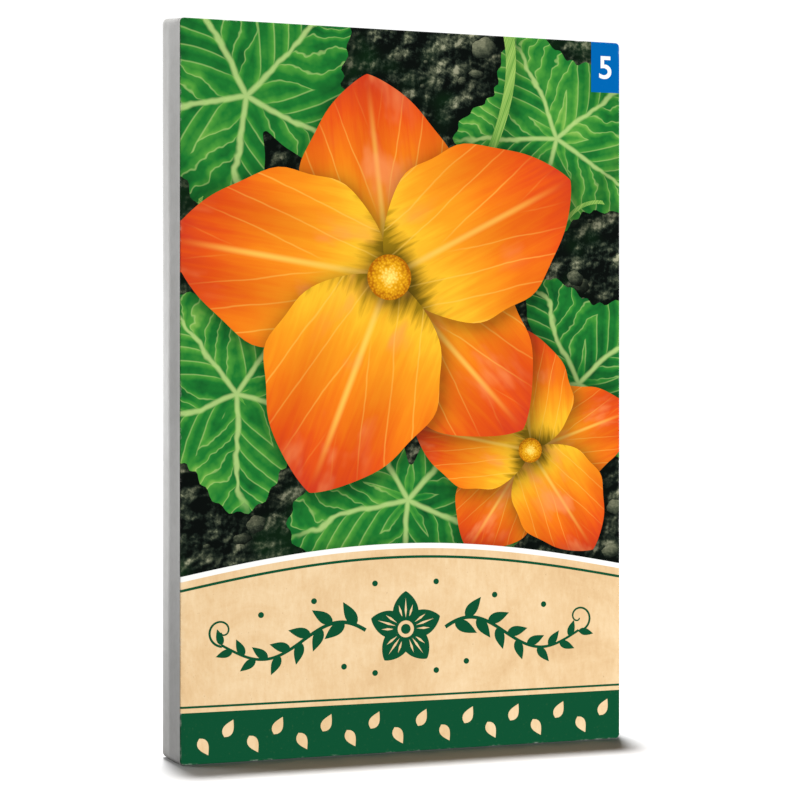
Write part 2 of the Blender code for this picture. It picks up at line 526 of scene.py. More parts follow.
def kraftInk():
    finish = Finish("kraftInk")
    where = finish.place()
    cloud = finish.noise(where, 70.0, 6.0, 0.68, 0.6)
    flecks = finish.noise(where, 1500.0, 3.0, 0.7)
    hairs = finish.noise(finish.scaled(where, 1.0, 1.0, 0.28), 900.0, 4.0, 0.7)
    light = cloud * 0.62 + hairs * 0.26 + flecks * 0.12
    color = finish.ramp(
        light,
        (0.32, 216, 178, 130),
        (0.47, 229, 195, 148),
        (0.58, 237, 207, 163),
        (0.72, 244, 219, 181),
    )
    color = finish.mix(color, tint(150, 108, 66), flecks.rise(0.66, 0.74) * 0.35)
    return printed(finish, color, "kraftRoughness")


def flatInk(name, color, worn):
    # a solid printing ink with a faint stamped grain; for the gaps it is a flat painted shade with
    # the same grain
    finish = Finish(name)
    grain = finish.noise(finish.place(), 1900.0, 4.0, 0.7)
    return printed(finish, finish.mix(tint(*color), tint(*worn), grain.rise(0.60, 0.80) * 0.35))


flatInks = {  # name of the material, its colour and the colour of its thin places
    "green": ("greenInk", (14, 78, 48), (96, 128, 84)),
    "blue": ("blueInk", (0, 98, 172), (40, 128, 190)),
    "white": ("whiteInk", (246, 246, 242), (230, 230, 226)),
    "orange": ("orangeInk", (232, 116, 26), (240, 160, 80)),
    "cream": ("creamInk", (243, 237, 220), (233, 225, 204)),
    "grey": ("greyInk", (150, 146, 132), (180, 176, 160)),
    # painted shade: this dark colour stands for the shade inside the slits' pits and the flap's
    # perforation dots
    "gap": ("gapShade", (128, 122, 110), (104, 98, 88)),
}


def makeInks():
    return {
        "paper": bareWhite(),
        "ground": groundInk(),
        "petal": petalInk(),
        "leaf": leafInk(),
        "stalk": stalkInk(),
        "pollen": pollenInk(),
        "kraft": kraftInk(),
        **{name: flatInk(*values) for name, values in flatInks.items()},
        "pebble": pebbleInk(),
    }


# Motifs: flat outlines in millimetres on a panel, x to the right and z up as one
# looks at that panel. Later motifs lie over earlier ones.

def spoke(origin, reach, angle):
    # the point at a reach and an angle in radians from an origin
    return origin[0] + reach * math.cos(angle), origin[1] + reach * math.sin(angle)


def turned(points, angle, origin=(0, 0)):
    cos, sin = math.cos(math.radians(angle)), math.sin(math.radians(angle))
    return [(origin[0] + x * cos - z * sin, origin[1] + x * sin + z * cos) for x, z in points]


def motif(ink, points, origin=(0, 0), turn=0.0, size=(1.0, 1.0), casts=0.0, pick=0.5):
    return {
        "ink": ink,
        "faces": [points],
        "origin": origin,
        "turn": math.radians(turn),
        "size": size,
        "casts": casts,  # how strongly it darkens what lies under its edge
        "pick": pick,
    }


def petalOutline(length, width, ruffle, phase, steps=44):
    # half the width rises and falls along the petal, and the rim waves a little
    def half(u):
        wave = 1 + ruffle * u * (1 - u) * 2 * math.sin(2 * math.pi * 3.0 * u + phase)
        return 0.5 * width * 2.645 * u ** 0.62 * (1 - u) ** 0.8 * wave

    shares = [(1 - math.cos(math.pi * i / steps)) / 2 for i in range(steps + 1)]
    out = [(length * u, half(u)) for u in shares]
    back = [(length * u, -half(u)) for u in reversed(shares[1:-1])]
    return out + back


def leafOutline(radius, steps=190):
    points = []
    for i in range(steps):
        angle = 2 * math.pi * i / steps - math.pi
        lobes = 0.83 + 0.13 * math.cos(5 * angle) + 0.018 * math.cos(38 * angle)
        notch = 1 - 0.62 * math.exp(-(((math.pi - abs(angle)) / 0.30) ** 2))
        points.append(spoke((0, 0), radius * lobes * notch, angle))
    return points


def ribbon(path, startWidth, endWidth):
    # a band along a path, narrowing from its start to its end
    left, right = [], []
    count = len(path)
    for i, (x, z) in enumerate(path):
        before, after = path[max(i - 1, 0)], path[min(i + 1, count - 1)]
        dx, dz = after[0] - before[0], after[1] - before[1]
        reach = math.hypot(dx, dz) or 1.0
        half = 0.5 * (startWidth + (endWidth - startWidth) * i / (count - 1))
        left.append((x - dz / reach * half, z + dx / reach * half))
        right.append((x + dz / reach * half, z - dx / reach * half))
    return right + left[::-1]


def bend(start, control, end, steps=24):
    points = []
    for i in range(steps + 1):
        t = i / steps
        a, b, c = (1 - t) ** 2, 2 * t * (1 - t), t * t
        points.append(tuple(a * s + b * m + c * e for s, m, e in zip(start, control, end)))
    return points


def disc(centre, radius, steps=40):
    return [spoke(centre, radius, 2 * math.pi * i / steps) for i in range(steps)]


class Growth(Nodes):
    # a Geometry Nodes tree with named inputs, run once on a mesh object
    def __init__(self, name):
        self.tree = bpy.data.node_groups.new(name, "GeometryNodeTree")
        for side in ("INPUT", "OUTPUT"):
            self.tree.interface.new_socket("Geometry", in_out=side, socket_type="NodeSocketGeometry")
        self.start = self.tree.nodes.new("NodeGroupInput")
        self.end = self.tree.nodes.new("NodeGroupOutput")
        self.chosen = {}

    def source(self):
        return Wire(self, self.start.outputs[0])

    def input(self, name, kind, value):
        made = self.tree.interface.new_socket(name, in_out="INPUT", socket_type="NodeSocket" + kind)
        self.chosen[made.identifier] = value
        return Wire(self, self.start.outputs[name])

    def scatter(self, points, pattern, turn, size, material):
        # a copy of the pattern on each point, joined to one mesh in one material
        shape = self.node("GeometryNodeObjectInfo", None, {0: pattern}, out=4)
        values = {"Points": points, "Instance": shape, "Rotation": turn, "Scale": size}
        placed = self.node("GeometryNodeInstanceOnPoints", None, values)
        placed = self.node("GeometryNodeRealizeInstances", None, {0: placed})
        return self.node("GeometryNodeSetMaterial", None, {"Geometry": placed, "Material": material})

    def run(self, source, pattern, result):
        # the grown mesh, which takes the place of the objects it grew from
        self.feed(self.end.inputs[0], result)
        modifier = source.modifiers.new("growth", "NODES")
        modifier.node_group = self.tree
        for identifier, value in self.chosen.items():
            modifier[identifier] = value
        mesh = plainMesh(source)
        for used in (source, pattern):
            bpy.data.objects.remove(used)
        return mesh


def plainMesh(source):
    evaluated = source.evaluated_get(bpy.context.evaluated_depsgraph_get())
    return bpy.data.meshes.new_from_object(evaluated)


def outlineObject(name, points, filled):
    mesh = bpy.data.meshes.new(name)
    edges = [] if filled else [(i, i + 1) for i in range(len(points) - 1)]
    faces = [range(len(points))] if filled else []
    mesh.from_pydata([(x, z, 0.0) for x, z in points], edges, faces)
    return addObject(name, mesh)


def flatFaces(mesh):
    return [[tuple(mesh.vertices[i].co[:2]) for i in face.vertices] for face in mesh.polygons]


def sprig(path, shape, count, tilt, endSize, ink):
    # a shape repeated along a path, leaning to one side and the other in turn
    growth = Growth("sprig")
    amount = growth.input("Count", "Int", count)
    lean = growth.input("Lean", "Float", math.radians(tilt))
    last = growth.input("End size", "Float", endSize)
    pattern = outlineObject("sprigShape", shape, True)
    patternInput = growth.input("Shape", "Object", pattern)
    inkInput = growth.input("Ink", "Material", ink)
    curve = growth.node("GeometryNodeMeshToCurve", None, {0: growth.source()})
    values = {"Curve": curve, "Count": amount}
    curve = growth.node("GeometryNodeResampleCurve", {"mode": "COUNT"}, values)
    values = {"Vector": growth.node("GeometryNodeInputTangent")}
    settings = {"axis": "X", "pivot_axis": "Z"}
    along = growth.node("FunctionNodeAlignRotationToVector", settings, values)
    side = growth.node("GeometryNodeInputIndex") % 2.0 * 2.0 - 1.0
    turn = growth.node("ShaderNodeCombineXYZ", None, {"Z": side * lean})
    turn = growth.node("FunctionNodeEulerToRotation", None, {0: turn})
    settings = {"rotation_space": "LOCAL"}
    turn = growth.node("FunctionNodeRotateRotation", settings, {0: along, 1: turn})
    values = {"Value": growth.node("GeometryNodeSplineParameter"), "To Min": 1.0, "To Max": last}
    size = growth.node("ShaderNodeMapRange", None, values)
    stem = outlineObject("sprigPath", path, False)
    placed = growth.scatter(curve, patternInput, turn, size, inkInput)
    return flatFaces(growth.run(stem, pattern, placed))


def isSliver(face):
    # too thin to tell its inside from its outside
    longest = max(math.dist(a, b) for a, b in zip(face, face[1:] + face[:1]))
    return abs(outlineArea(face)) < 0.003 * longest


figureShare = 0.69  # how tall the font's figures are in its size


def numeralFaces(text, centre, height, weight=0.01):
    curve = bpy.data.curves.new("numeral", "FONT")
    curve.body = text
    curve.size = height / figureShare
    curve.align_x = "CENTER"
    curve.offset = weight * height
    curve.resolution_u = 5
    drawn = addObject("numeral", curve)
    faces = [face for face in flatFaces(plainMesh(drawn)) if not isSliver(face)]
    bpy.data.objects.remove(drawn)
    return [[(x + centre[0], z + centre[1] - height / 2) for x, z in face] for face in faces]


def stamp(ink, faces, pick=0.5):
    return {**motif(ink, [], pick=pick), "faces": faces}


def twig(inks, ink, path, size, count, tilt, endSize):
    shape = leafShape(*size)
    return stamp(ink, sprig(path, shape, count, tilt, endSize, inks[ink]))


def rectangle(x0, z0, x1, z1):
    return [(x0, z0), (x1, z0), (x1, z1), (x0, z1)]


def roundedRectangle(x0, z0, x1, z1, radius, steps=5):
    points = []
    corners = [(x1 - radius, z0 + radius, -90), (x1 - radius, z1 - radius, 0)]
    corners += [(x0 + radius, z1 - radius, 90), (x0 + radius, z0 + radius, 180)]
    for x, z, start in corners:
        for i in range(steps + 1):
            points.append(spoke((x, z), radius, math.radians(start + 90 * i / steps)))
    return points


def leafShape(length, width, steps=9):
    # a small pointed leaf or drop that grows from the origin along x
    shares = [i / steps for i in range(steps + 1)]
    out = [(length * u, 0.5 * width * math.sin(math.pi * u ** 0.72)) for u in shares]
    back = [(x, -z) for x, z in reversed(out[1:-1])]
    return out + back


picture = {
    "seed": 11,
    "halfWidth": 47.5,
    "petals": 5,
    "petalBreadth": 0.80,
    "heart": 0.105,
    "pebbles": 170,
    "pebbleZone": ((-47, 47), (38, 148)),
    "leaves": [  # middle, radius, turn and pick of each
        ((-34, 134), 29, 118, 0.30),
        ((33, 128), 24, 40, 0.75),
        ((-36, 74), 25, 200, 0.60),
        ((38, 76), 25, -30, 0.15),
        ((0, 52), 27, -95, 0.45),
    ],
    "stalks": [((-50, 100), (-30, 108), (0, 96)), ((22, 150), (26, 132), (6, 104))],
    "tendrils": [((36, 108), 55, 26, 3.2, 0.4), ((-38, 106), 140, 22, 3.0, 0.6)],
    "blossoms": [((27, 62), 25, 20), ((-4, 98), 45, 100)],  # middle, reach and turn
    "bandSide": 35.0,  # height of the plain band at the panel's edges, in millimetres
    "bandRise": 7.0,  # how much higher its arched top is in the middle
    "footStrip": {"top": 10.4, "seedSize": (3.9, 2.2), "count": 18, "lean": 62},
    "tab": (40.9, 138.3, "5"),  # left and bottom edge of the corner tab, and its numeral
    "ornament": {
        "middle": (-0.5, 25.4),
        "reach": 38.5,
        "leafSize": (5.6, 2.5),
        "leaves": 13,
        "lean": 44.0,
    },
}


def blossom(centre, reach, turn, draw):
    found = []
    petals = picture["petals"]
    order = sorted(range(petals), key=lambda i: (i * 2) % petals)
    for i in order:
        angle = turn + 360 * i / petals + draw.uniform(-5, 5)
        length = reach * draw.uniform(0.93, 1.05)
        width = length * picture["petalBreadth"]
        outline = turned(petalOutline(length, width, 0.07, draw.uniform(0, 6)), angle, centre)
        size = (length, width / 2)
        found.append(motif("petal", outline, centre, angle, size, 0.85, draw.random()))
    heart = reach * picture["heart"]
    found.append(motif("pollen", disc(centre, heart), centre, turn, (heart, heart), 1.0))
    return found


def leaf(centre, radius, turn, pick):
    outline = turned(leafOutline(radius), turn, centre)
    return motif("leaf", outline, centre, turn, (radius, radius), 0.8, pick)


def stalk(start, control, end, widths=(2.4, 1.4)):
    path = bend(start, control, end)
    span = math.hypot(end[0] - start[0], end[1] - start[1])
    turn = math.degrees(math.atan2(end[1] - start[1], end[0] - start[0]))
    return motif("stalk", ribbon(path, *widths), start, turn, (span, widths[0]), 0.6)


def tendril(start, turn, reach, coils, pick):
    path = []
    steps = 90
    for i in range(steps + 1):
        t = i / steps
        swing = reach * 0.16 * (1 - t)
        angle = 2 * math.pi * coils * t * t
        path.append((reach * t + swing * math.sin(angle), swing * math.cos(angle) * 1.6 - swing))
    outline = ribbon(turned(path, turn, start), 0.95, 0.35)
    return motif("stalk", outline, start, turn, (reach, 2.0), 0.5, pick)


def bandTop(x):
    arch = math.cos(math.pi * x / (2 * picture["halfWidth"] * 1.15))
    return picture["bandSide"] + picture["bandRise"] * arch


def bandEdge(low, high, steps=60):
    xs = [-50 + 100 * i / steps for i in range(steps + 1)]
    return [(x, bandTop(x) + low) for x in xs] + [(x, bandTop(x) + high) for x in reversed(xs)]


def pebbles(draw):
    # crumbs and stones on the soil, larger ones fewer
    found = []
    for number in range(picture["pebbles"]):
        radius = 0.5 + 2.1 * draw.random() ** 2.6
        x, z = (draw.uniform(*zone) for zone in picture["pebbleZone"])
        phase, squash = draw.uniform(0, 6), draw.uniform(0.62, 0.95)
        points = []
        for i in range(18):
            angle = 2 * math.pi * i / 18
            bump = 1 + 0.12 * math.sin(2 * angle + phase) + 0.08 * math.sin(5 * angle + 2 * phase)
            right, up = radius * bump * math.cos(angle), radius * squash * bump * math.sin(angle)
            points.append((x + right, z + up))
        size = (radius * 1.15, radius * squash * 1.15)
        found.append(motif("pebble", points, (x, z), 0.0, size, 0.5, draw.random()))
    return found


def frontMotifs(inks):
    draw = random.Random(picture["seed"])
    found = pebbles(random.Random(picture["seed"] + 1))
    for make, rows in ((leaf, "leaves"), (stalk, "stalks"), (tendril, "tendrils")):
        found += [make(*row) for row in picture[rows]]
    for row in picture["blossoms"]:
        found += blossom(*row, draw)
    found.append(motif("white", bandEdge(0.0, 1.1), casts=0.7))
    found.append(motif("kraft", bandEdge(-60.0, 0.02)))
    found.append(motif("green", bandEdge(-2.0, -1.45)))
    found += scrollOrnament(inks, **picture["ornament"])
    found += footStrip(inks, **picture["footStrip"])
    found += cornerTab()
    return found


def spiral(centre, reach, start, turns, steps=40):
    points = []
    for i in range(steps + 1):
        t = i / steps
        angle = math.radians(start) + 2 * math.pi * turns * t
        points.append(spoke(centre, reach * (1 - t) ** 0.85 + 0.25, angle))
    return points


def scrollOrnament(inks, middle, reach, leafSize, leaves, lean):
    # a flower with a leafy scroll to each side of it, in one ink
    x, z = middle
    found = []
    for side in (-1, 1):
        path = []
        for i in range(61):
            t = i / 60
            rise = 3.9 * math.sin(2 * math.pi * t * 0.92 + 0.5) * (1 - 0.25 * t)
            path.append((x + side * (8.6 + (reach - 8.6) * t), z + rise - 1.8))
        end = path[-1]
        curl = spiral((end[0], end[1] + 2.8), 2.8, -90, 1.1 * side)
        found.append(motif("green", ribbon(path, 0.8, 0.5)))
        found.append(motif("green", ribbon(curl, 0.5, 0.3)))
        found.append(twig(inks, "green", path[4:], leafSize, leaves, lean, 0.62))
        spots = ((6.6, 9.6), (6.6, -8.8), (19.5, 6.4), (13.2, -7.2), (30.5, 4.0))
        berries = [disc((x + side * spot, z + lift), 0.62, 12) for spot, lift in spots]
        found.append(stamp("green", berries))
    for i in range(5):
        angle = 90 + 72 * i
        outline = petalOutline(7.8, 5.6, 0.0, 0.0, 20)
        found.append(motif("green", turned(outline, angle, middle), middle, angle, (7.8, 2.8)))
        for skew, tip in ((0, 6.4), (17, 5.2), (-17, 5.2)):
            vein = [(2.3, 0.0), (3.9, 0.24), (tip, 0.0), (3.9, -0.24)]
            found.append(motif("kraft", turned(vein, angle + skew, middle)))
    found.append(motif("kraft", disc(middle, 1.75, 24)))
    found.append(motif("green", disc(middle, 1.05, 20)))
    return found


def footStrip(inks, top, seedSize, count, lean):
    path = [(-43.6 + 86.4 * i / 40, top * 0.5) for i in range(41)]
    return [
        motif("green", rectangle(-50, -1, 50, top)),
        motif("green", rectangle(-50, top + 0.9, 50, top + 1.35)),
        twig(inks, "kraft", path, seedSize, count, lean, 1.0),
    ]


def cornerTab():
    left, bottom, numeral = picture["tab"]
    middle = ((left + frontHalf) / 2, (bottom + frontTop) / 2)
    return [
        motif("blue", rectangle(left, bottom, 50, 152), casts=0.35),
        stamp("white", numeralFaces(numeral, middle, 4.7, 0.02)),
    ]


# The back's print, laid out as one looks at the back: x to the right, z up

backPrint = {
    "seed": 5,
    "margin": 0.7,  # bare paper round the print
    # height of each flap's fold and of its free edge, and half its width at both
    "topFlap": (148.8, 128.8, 47.2, 41.2),
    "footFlap": (1.3, 13.3, 47.2, 41.2),
    "seam": (-23.5, -12.5),  # where one side of the sheet lies over the other
    "flapLayer": 0.3,
    "seamLayer": 0.18,
    "cut": 0.07,  # width of a cut paper edge
    "climber": [((-37, 18), (-31, 44), (-36, 70)), ((-36, 70), (-41, 98), (-35, 122))],
    "blossoms": [((-37.5, 102), 7.5), ((-32.5, 71), 6.4), ((-37.5, 40), 8.2)],
    "heading": 116.5,
    "calendar": {"left": -8.4, "right": 44.4, "top": 104.0, "row": 5.0, "months": 12},
    "bars": [("green", 4, 6, 1), ("orange", 8, 10, 2)],  # ink, first and last column, row
    "line": 0.09,  # half the width of the calendar's lines
    "signs": {"middle": 72.5, "half": 9.0, "space": 0.9, "radius": 4.2},
    "noteLines": (22.0, 52.0, 6),
}


def roundedPath(points, radius, steps=6):
    # an open path with its inner corners rounded
    path = [points[0]]
    for before, corner, after in zip(points, points[1:], points[2:]):
        ends = []
        for other in (before, after):
            reach = math.dist(corner, other)
            ends.append(tuple(c + (o - c) * radius / reach for c, o in zip(corner, other)))
        path += bend(ends[0], corner, ends[1], steps)
    return path + [points[-1]]


def flapEdge(name, inset=0.0):
    # the free edge of a flap, from one end of its fold round to the other
    root, free, halfRoot, halfFree = backPrint[name]
    side = 1 if root > free else -1
    corners = [(-halfRoot, root), (-halfFree, free), (halfFree, free), (halfRoot, root)]
    return roundedPath([(side * x * (1 - inset / 45), z + side * inset) for x, z in corners], 3.0)


flapEdges = {name: flapEdge(name) for name in ("topFlap", "footFlap")}


def cutEdge(outer, inner):
    # the thin white line where a sheet ends
    return motif("paper", outer + inner[::-1])


def calendar(left, right, top, row, months):
    cell = (right - left) / months
    figures = []
    for month in range(months):
        centre = (left + cell * (month + 0.5), top - row / 2)
        figures += numeralFaces(str(month + 1), centre, 2.1)
    half = backPrint["line"]
    lines = [top - row * (i + 1) for i in (1, 2)]
    lines = [rectangle(left, z - half, right, z + half) for z in lines]
    columns = [left + cell * i for i in range(months + 1)]
    lines += [rectangle(x - half, top - row * 3, x + half, top - row) for x in columns]
    found = [
        motif("green", rectangle(left, top - row, right, top)),
        stamp("cream", figures),
        stamp("grey", lines),
    ]
    for ink, first, last, line in backPrint["bars"]:
        start, end = left + cell * (first - 1) + 0.4, left + cell * last - 0.4
        low = top - row * (line + 1)
        found.append(motif(ink, roundedRectangle(start, low + 1.0, end, low + row - 1.0, 1.2)))
    return found


def sunSign(centre, radius):
    rays = []
    for i in range(12):
        ray = [(radius * 0.62, -0.16 * radius), (radius, 0.0), (radius * 0.62, 0.16 * radius)]
        rays.append(turned(ray, 30 * i, centre))
    return [stamp("orange", rays), motif("orange", disc(centre, radius * 0.48, 28))]


def dropSign(centre, radius):
    x, z = centre
    drop = [(x, z + radius)]
    for i in range(25):
        drop.append(spoke((x, z - 0.3 * radius), 0.62 * radius, math.radians(25 - 230 * i / 24)))
    return [motif("blue", drop)]


def arrowHead(length, half, angle, tip):
    return turned([(0.0, 0.0), (-length, half), (-length, -half)], angle, tip)


def signNumeral(numeral, x, z, radius):
    return stamp("green", numeralFaces(numeral, (x, z + 1.06 * radius), 0.62 * radius))


def depthSign(centre, radius):
    # the soil's surface, a seed under it and how deep it lies
    x, z = centre
    soil = rectangle(x - radius, z + 0.42 * radius, x + radius, z + 0.54 * radius)
    seed = turned(leafShape(radius * 0.8, radius * 0.48), 90, (x - 0.5 * radius, z - 0.95 * radius))
    arrow = [(x + 0.42 * radius, z + 0.42 * radius), (x + 0.42 * radius, z - 0.55 * radius)]
    end = (arrow[1][0], arrow[1][1] - 0.3 * radius)
    head = arrowHead(0.5 * radius * 0.8, 0.32 * radius * 0.8, -90, end)
    return [
        stamp("green", [soil, ribbon(arrow, 0.1 * radius, 0.1 * radius), head]),
        motif("orange", seed),
        signNumeral("3", x, z, radius),
    ]


def spacingSign(centre, radius):
    # two young plants and the distance between them
    x, z = centre
    shapes = []
    for side in (-1, 1):
        foot = (x + side * 0.66 * radius, z - 0.3 * radius)
        for tilt in (150, 90, 30):
            shapes.append(turned(leafShape(radius * 0.66, radius * 0.3), tilt, foot))
        end = (x + side * 0.9 * radius, z - 0.72 * radius)
        shapes.append(arrowHead(0.36 * radius, 0.2 * radius, 0 if side > 0 else 180, end))
    bar = [(x - 0.6 * radius, z - 0.72 * radius), (x + 0.6 * radius, z - 0.72 * radius)]
    shapes.append(ribbon(bar, 0.1 * radius, 0.1 * radius))
    return [stamp("green", shapes), signNumeral("90", x, z, radius)]


def signRow(left, right, middle, half, space, radius):
    gap = (right - left) / 4
    found = []
    for number, sign in enumerate((sunSign, dropSign, depthSign, spacingSign)):
        x = left + gap * (number + 0.5)
        start, end = x - gap / 2 + space, x + gap / 2 - space
        found.append(motif("kraft", roundedRectangle(start, middle - half, end, middle + half, 1.6)))
        drop = 1.0 if sign in (depthSign, spacingSign) else 0.0  # leaves room for the numeral
        found += sign((x, middle - drop), radius)
    return found


def climber(inks, draw):
    # a climbing stalk with blossoms beside the seam
    lower, upper = backPrint["climber"]
    path = bend(*lower) + bend(*upper)[1:]
    found = [
        motif("stalk", ribbon(path, 1.2, 0.7), path[0], 90, (104, 2.0)),
        twig(inks, "green", path[2:], (8.4, 3.8), 19, 52, 0.6),
    ]
    for centre, reach in backPrint["blossoms"]:
        found += [{**one, "casts": one["casts"] * 0.4} for one in blossom(centre, reach, 20, draw)]
    return found


def heading(inks, x, z):
    # a small flower with a twig to each side
    found = []
    for side in (-1, 1):
        path = bend((x + side * 5, z), (x + side * 13, z + 3.4), (x + side * 24, z - 0.6), 30)
        found.append(motif("green", ribbon(path, 0.6, 0.3)))
        found.append(twig(inks, "green", path[3:], (3.4, 1.5), 10, 40, 0.6))
    for i in range(5):
        outline = petalOutline(4.4, 3.2, 0.0, 0.0, 16)
        found.append(motif("orange", turned(outline, 90 + 72 * i, (x, z))))
    return found + [motif("cream", disc((x, z), 0.9, 18))]


def flaps(inks):
    # the seam's cut edge, and the two flaps over it
    _, seamEnd = backPrint["seam"]
    cut = backPrint["cut"]
    top, foot = flapEdges["topFlap"], flapEdges["footFlap"]
    _, low, _, half = backPrint["topFlap"]
    _, up, _, _ = backPrint["footFlap"]
    dots = [disc((-half + 3 + (2 * half - 6) * i / 44, low + 13.5), 0.28, 8) for i in range(45)]
    vine = [(-34 + 68 * i / 40, low + 7.4 + 1.1 * math.sin(i * 0.63)) for i in range(41)]
    return [
        motif("paper", rectangle(seamEnd - cut, 13.0, seamEnd, 129.2)),
        motif("kraft", top + [(47.2, 149.0), (-47.2, 149.0)]),
        motif("kraft", foot + [(-47.2, 1.2), (47.2, 1.2)]),
        motif("green", rectangle(-half + 2.5, low + 2.2, half - 2.5, low + 2.6)),
        # the perforation dots are coloured with painted shade
        stamp("gap", dots),
        motif("green", ribbon(vine, 0.4, 0.4)),
        twig(inks, "green", vine, (3.2, 1.4), 26, 48, 1.0),
        motif("green", rectangle(-half + 2.5, up - 2.6, half - 2.5, up - 2.2)),
        cutEdge(top, flapEdge("topFlap", cut)),
        cutEdge(foot, flapEdge("footFlap", cut)),
    ]


def backMotifs(inks):
    draw = random.Random(backPrint["seed"])
    half = high[0] - sheet["backFold"] - backPrint["margin"]
    left, right = backPrint["calendar"]["left"], backPrint["calendar"]["right"]
    found = [motif("cream", roundedRectangle(-half, 1.4, half, sheetTop - 1.4, 1.6))]
    found += climber(inks, draw)
    found += heading(inks, (left + right) / 2, backPrint["heading"])
    found += calendar(**backPrint["calendar"])
    found += signRow(left, right, **backPrint["signs"])
    start, end, count = backPrint["noteLines"]
    lines = [start + (end - start) * i / (count - 1) for i in range(count)]
    found.append(stamp("grey", [rectangle(left, z - 0.1, right, z + 0.1) for z in lines]))
    return found + flaps(inks)


# The panel meshes

sheet = {  # in millimetres
    "edgeStep": 1.5,  # between points along the folds
    "gridStep": 1.5,
    "cornerSteps": 4,
    "foldSteps": 4,
    "frontFold": 0.3,
    "backFold": 0.7,
    "creaseProud": 1.2,
    "backProud": 1.6,
    "topRise": 1.0,
    "sideSwell": (0.15, 0.33),  # how much further out than in the solids: crease, back edge
    "frontCorner": 0.9,
    "topSwell": 0.4,
    "backCorner": 1.1,
    "creaseShares": (0.3, 0.62, 0.86),
    "backShare": 0.16,  # the first outline between the crease and the back edge
    "slitShares": (0.506, 0.694),  # where the folded top corners leave a gap
    "slitReach": (40.6, 43.6),
    "slitDepth": 1.4,
    "shadeReach": 1.9,
    "shadeShift": (0.5, -0.7),
    "smoothAngle": 32,
}

relief = {  # in millimetres: low waves and swellings of the flat panels
    "seedSwell": (0.10, 14, 16),  # how far, at what height and over what reach
    "frontWave": 0.07,
    "backWave": 0.05,
    "freeLift": (0.10, 4.0),  # a flap's free edge: how far it lifts and over what reach
    "seamSlope": 2.4,
}

low, high = (np.array(corner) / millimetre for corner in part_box("envelope"))
frontY = low[1]
backY = high[1] - backPrint["flapLayer"]  # the back panel lies under its flaps
frontHalf = (high[0] - low[0]) / 2 - sheet["backProud"]
frontTop = high[2] - sheet["topRise"]
sheetTop = high[2] + sheet["topSwell"]
sheetHalf = high[0] - sheet["backFold"] + sheet["sideSwell"][1]


def quarterFold():
    return [math.pi / 2 * i / sheet["foldSteps"] for i in range(sheet["foldSteps"] + 1)]


def blend(start, end, share):
    return tuple(a + (b - a) * share for a, b in zip(start, end))


def sheetRings():
    # half width, bottom, top, corner radius and depth of each outline, front to back
    fold, corner, backCorner = sheet["frontFold"], sheet["frontCorner"], sheet["backCorner"]
    rings = []
    for angle in quarterFold():
        inset = fold * (1 - math.sin(angle))
        depth = frontY + fold * (1 - math.cos(angle))
        radius = corner * (0.6 + 0.4 * math.sin(angle))
        rings.append((frontHalf - inset, inset, frontTop - inset, radius, depth))
    creaseHalf = frontHalf + sheet["creaseProud"] + sheet["sideSwell"][0]
    backHalf = frontHalf + sheet["backProud"] + sheet["sideSwell"][1]
    front = (frontHalf, 0.0, frontTop, corner, frontY + fold)
    creaseTop = frontTop + 0.7 * sheet["topRise"]
    crease = (creaseHalf, 0.0, creaseTop, backCorner, (frontY + backY) / 2)
    fold = sheet["backFold"]
    back = (backHalf, 0.0, sheetTop, backCorner, backY - fold)
    rings += [blend(front, crease, share) for share in sheet["creaseShares"]] + [crease]
    rings += [blend(crease, back, share) for share in (sheet["backShare"], *sheet["slitShares"])]
    for angle in quarterFold():
        inset = fold * (1 - math.cos(angle))
        depth = backY - fold * (1 - math.sin(angle))
        rings.append((backHalf - inset, inset, sheetTop - inset, backCorner, depth))
    return rings


def ringSides(ring):
    # the straight runs of an outline, each from one corner's end to the next one's start
    half, bottom, top, radius, _ = ring
    return [
        ((-half + radius, bottom), (half - radius, bottom)),
        ((half, bottom + radius), (half, top - radius)),
        ((half - radius, top), (-half + radius, top)),
        ((-half, top - radius), (-half, bottom + radius)),
    ]


def ringCorners(ring):
    half, bottom, top, radius, _ = ring
    return [
        (half - radius, bottom + radius, -90),
        (half - radius, top - radius, 0),
        (-half + radius, top - radius, 90),
        (-half + radius, bottom + radius, 180),
    ]


def ringPoint(ring, section, share):
    # sections run bottom, corner, right, corner, top, corner, left, corner
    if section % 2 == 0:
        (x0, z0), (x1, z1) = ringSides(ring)[section // 2]
        return x0 + (x1 - x0) * share, z0 + (z1 - z0) * share
    x, z, start = ringCorners(ring)[section // 2]
    return spoke((x, z), ring[3], math.radians(start + 90 * share))


def ringShare(ring, x, z):
    # the section of an outline that a point lies on, and how far along it
    half, bottom, top, _, _ = ring
    middle = (top + bottom) / 2
    for number, (cx, cz, start) in enumerate(ringCorners(ring)):
        outX, outZ = x - cx, z - cz
        if min(outX * math.copysign(1, cx), outZ * math.copysign(1, cz - middle)) > 1e-6:
            angle = math.degrees(math.atan2(outZ, outX))
            return 2 * number + 1, min(max(((angle - start) % 360) / 90, 0.0), 1.0)
    distances = [abs(z - bottom), abs(x - half), abs(z - top), abs(x + half)]
    side = distances.index(min(distances))
    (x0, z0), (x1, z1) = ringSides(ring)[side]
    run = (x1 - x0) * (x - x0) + (z1 - z0) * (z - z0)
    return 2 * side, run / ((x1 - x0) ** 2 + (z1 - z0) ** 2)


def borderPoints(ring):
    points = []
    bends = sheet["cornerSteps"]
    for number, (start, end) in enumerate(ringSides(ring)):
        steps = max(2, round(math.dist(start, end) / sheet["edgeStep"]))
        points += [ringPoint(ring, 2 * number, i / steps) for i in range(steps)]
        points += [ringPoint(ring, 2 * number + 1, i / bends) for i in range(bends)]
    return points


